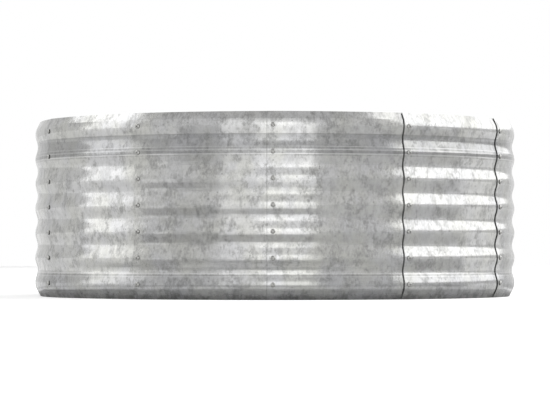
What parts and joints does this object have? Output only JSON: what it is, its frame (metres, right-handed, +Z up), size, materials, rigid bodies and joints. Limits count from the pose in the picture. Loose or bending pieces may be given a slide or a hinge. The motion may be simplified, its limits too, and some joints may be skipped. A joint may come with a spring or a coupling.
{
  "type": "raised garden bed",
  "caption": "Low round garden bed: a bottomless ring of corrugated galvanised steel panels, lapped and bolted together, that stands on the ground and holds soil.",
  "frame": {"origin": "on the ground, at the centre of the ring", "axes": "+Z up the wall; -Y towards the viewer of the picture; +X to the viewer's right"},
  "size_m": [1.0029, 1.0046, 0.36],
  "materials": {
    "galvanised_sheet": "weathered galvanised steel sheet, mottled, half matt",
    "zinc_fastener": "dull zinc-plated steel"
  },
  "bodies": {
    "root": {"wall_panel_01": "galvanised_sheet", "wall_panel_02": "galvanised_sheet", "wall_panel_03": "galvanised_sheet", "wall_panel_04": "galvanised_sheet", "wall_panel_05": "galvanised_sheet", "wall_panel_06": "galvanised_sheet", "wall_panel_07": "galvanised_sheet", "wall_panel_08": "galvanised_sheet", "wall_panel_09": "galvanised_sheet", "wall_panel_10": "galvanised_sheet", "wall_panel_11": "galvanised_sheet", "seam_bolts_01": "zinc_fastener", "seam_bolts_02": "zinc_fastener", "seam_bolts_03": "zinc_fastener", "seam_bolts_04": "zinc_fastener", "seam_bolts_05": "zinc_fastener", "seam_bolts_06": "zinc_fastener", "seam_bolts_07": "zinc_fastener", "seam_bolts_08": "zinc_fastener", "seam_bolts_09": "zinc_fastener", "seam_bolts_10": "zinc_fastener", "seam_bolts_11": "zinc_fastener", "seam_washers_01": "zinc_fastener", "seam_washers_02": "zinc_fastener", "seam_washers_03": "zinc_fastener", "seam_washers_04": "zinc_fastener", "seam_washers_05": "zinc_fastener", "seam_washers_06": "zinc_fastener", "seam_washers_07": "zinc_fastener", "seam_washers_08": "zinc_fastener", "seam_washers_09": "zinc_fastener", "seam_washers_10": "zinc_fastener", "seam_washers_11": "zinc_fastener", "seam_nuts_01": "zinc_fastener", "seam_nuts_02": "zinc_fastener", "seam_nuts_03": "zinc_fastener", "seam_nuts_04": "zinc_fastener", "seam_nuts_05": "zinc_fastener", "seam_nuts_06": "zinc_fastener", "seam_nuts_07": "zinc_fastener", "seam_nuts_08": "zinc_fastener", "seam_nuts_09": "zinc_fastener", "seam_nuts_10": "zinc_fastener", "seam_nuts_11": "zinc_fastener"}
  },
  "joints": []
}
